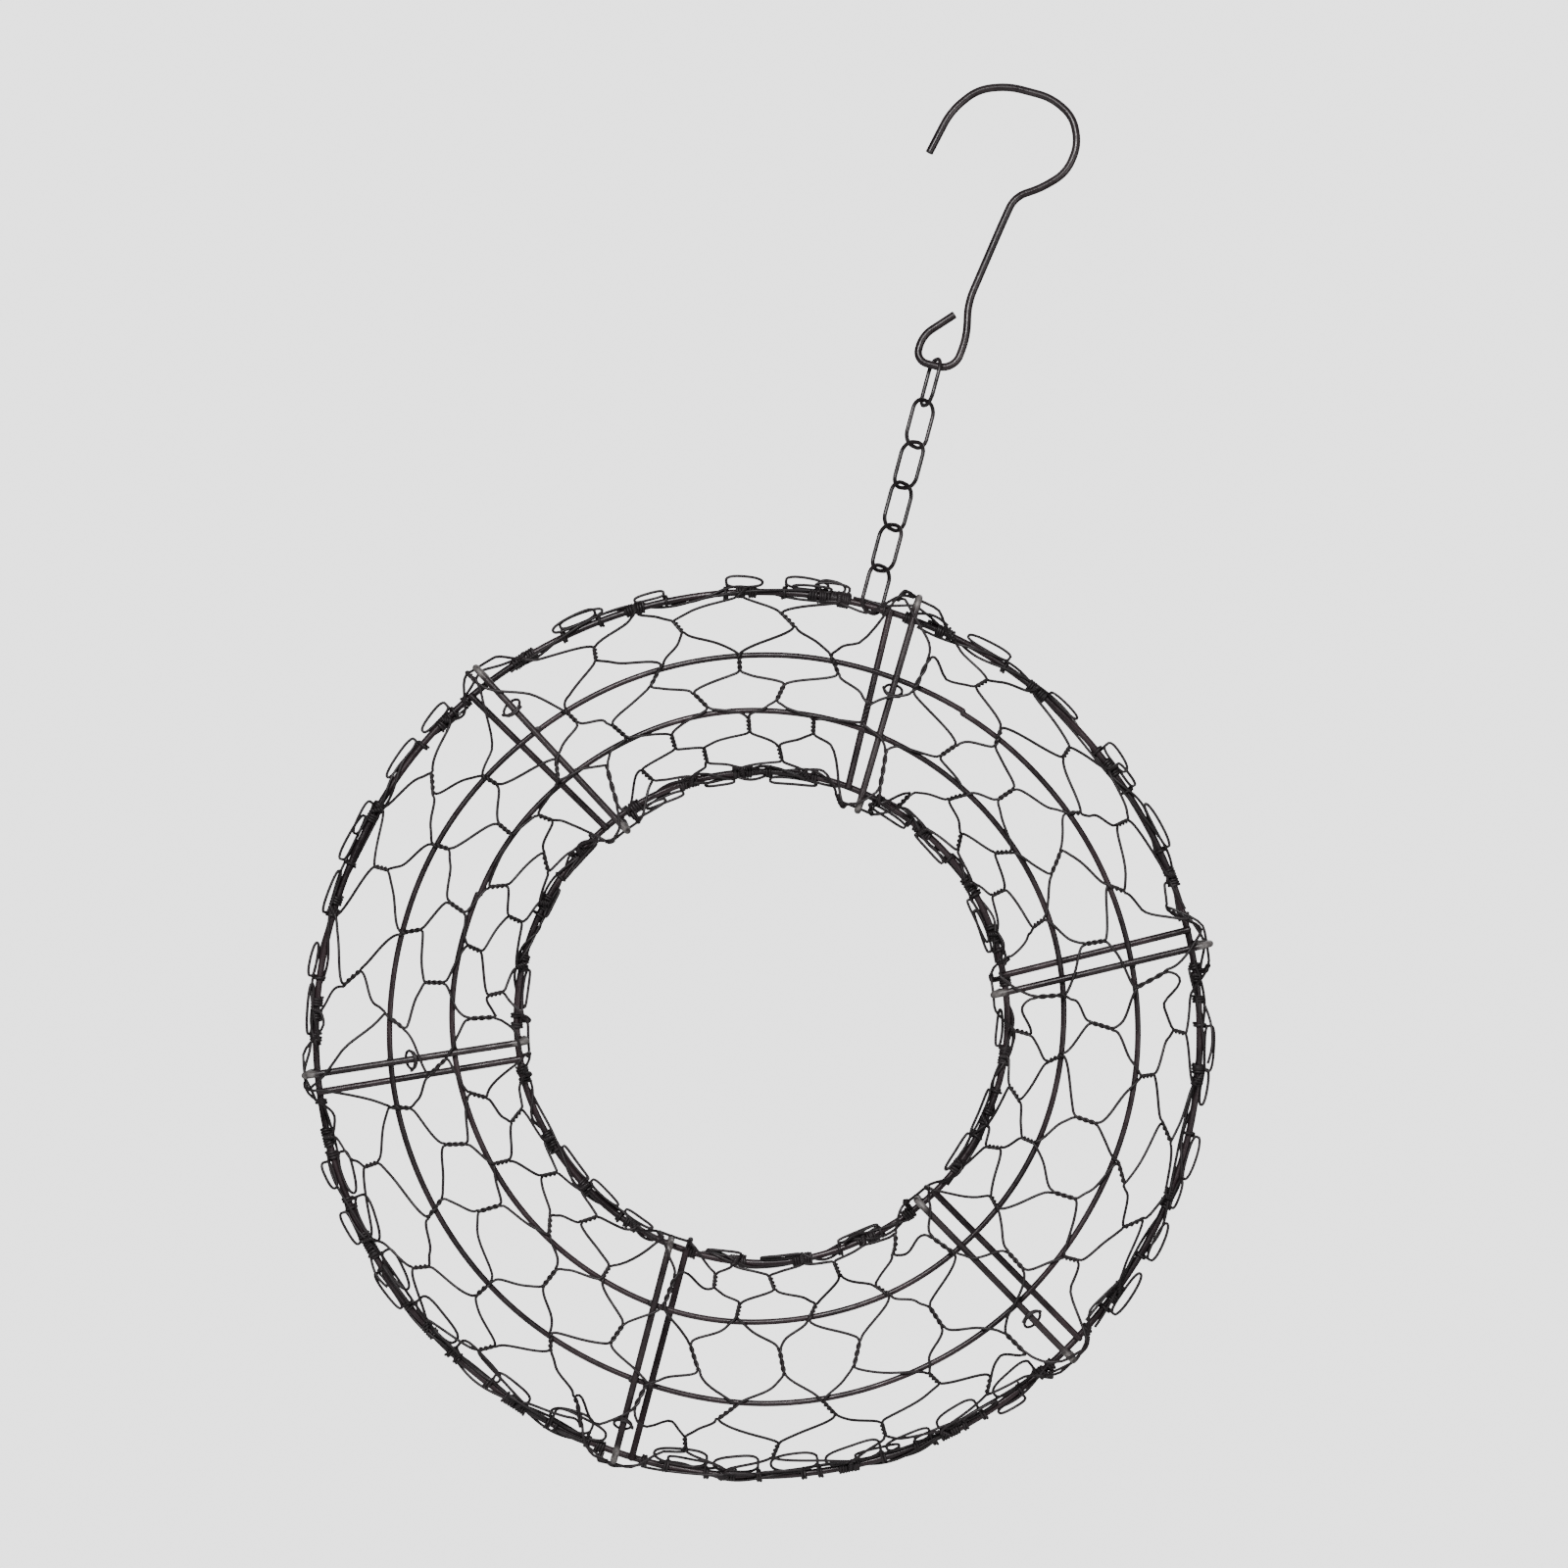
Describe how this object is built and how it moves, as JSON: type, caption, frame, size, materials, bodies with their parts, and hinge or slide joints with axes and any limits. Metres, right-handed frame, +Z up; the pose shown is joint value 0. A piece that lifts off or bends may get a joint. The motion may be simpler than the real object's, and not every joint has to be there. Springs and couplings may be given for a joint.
{
  "type": "wreath frame",
  "caption": "Round box-section wire wreath frame covered in hexagonal netting, hanging from a short chain and an open wire hook.",
  "frame": {"origin": "the inside of the hook's crown at its highest point, where the hook rests on its nail", "axes": "+Z up along the hanging chain, -Y towards the front of the wreath, +X to the right seen from the front; the wreath itself hangs 4.65 degrees out of plumb about X, foot back, with its centre of mass below the chain"},
  "size_m": [0.3583, 0.0644, 0.5792],
  "materials": {
    "frame_steel": "dark bronze-brown enamel, satin",
    "rib_steel": "dark bronze-brown enamel, satin, thin and grey at the bends",
    "net_wire": "dark annealed and painted wire, dull",
    "chain_steel": "dark painted wire, satin",
    "hook_steel": "dark bronze-brown enamel, satin"
  },
  "bodies": {
    "hook": {"hanging_hook": "hook_steel"},
    "link_1": {"chain_link_1": "chain_steel"},
    "link_2": {"chain_link_2": "chain_steel"},
    "link_3": {"chain_link_3": "chain_steel"},
    "link_4": {"chain_link_4": "chain_steel"},
    "link_5": {"chain_link_5": "chain_steel"},
    "link_6": {"chain_link_6": "chain_steel"},
    "frame": {"outer_ring": "frame_steel", "inner_ring": "frame_steel", "front_ring_outer": "frame_steel", "front_ring_inner": "frame_steel", "back_bar_1": "frame_steel", "back_bar_2": "frame_steel", "back_bar_3": "frame_steel", "back_bar_4": "frame_steel", "back_bar_5": "frame_steel", "back_bar_6": "frame_steel", "front_rib_1": "rib_steel", "front_rib_2": "rib_steel", "front_rib_3": "rib_steel", "front_rib_4": "rib_steel", "front_rib_5": "rib_steel", "front_rib_6": "rib_steel", "netting_bay_1": "net_wire", "netting_bay_2": "net_wire", "netting_bay_3": "net_wire", "netting_bay_4": "net_wire", "netting_bay_5": "net_wire", "netting_bay_6": "net_wire", "tie_wire_1": "net_wire", "tie_wire_3": "net_wire", "tie_wire_4": "net_wire", "tie_wire_5": "net_wire", "tie_wire_6": "net_wire"}
  },
  "joints": [
    {"name": "hook_swing", "type": "hinge", "parent": "hook", "child": "link_1", "pos_m": [-0.0085, 0, -0.117], "axis": [1, 0, 0], "range_deg": [-60, 60]},
    {"name": "link_1_swing", "type": "hinge", "parent": "link_1", "child": "link_2", "pos_m": [-0.0085, 0, -0.13365], "axis": [0.309, -0.9511, 0], "range_deg": [-45, 45]},
    {"name": "link_2_swing", "type": "hinge", "parent": "link_2", "child": "link_3", "pos_m": [-0.0085, 0, -0.15105], "axis": [-0.7071, -0.7071, 0], "range_deg": [-45, 45]},
    {"name": "link_3_swing", "type": "hinge", "parent": "link_3", "child": "link_4", "pos_m": [-0.0085, 0, -0.16845], "axis": [-0.7071, 0.7071, 0], "range_deg": [-45, 45]},
    {"name": "link_4_swing", "type": "hinge", "parent": "link_4", "child": "link_5", "pos_m": [-0.0085, 0, -0.18585], "axis": [0.7071, 0.7071, 0], "range_deg": [-45, 45]},
    {"name": "link_5_swing", "type": "hinge", "parent": "link_5", "child": "link_6", "pos_m": [-0.0085, 0, -0.20325], "axis": [0.7071, -0.7071, 0], "range_deg": [-45, 45]},
    {"name": "frame_swing", "type": "hinge", "parent": "link_6", "child": "frame", "pos_m": [-0.0085, 0, -0.2182], "axis": [-1, 0, 0], "range_deg": [-40, 40]}
  ]
}
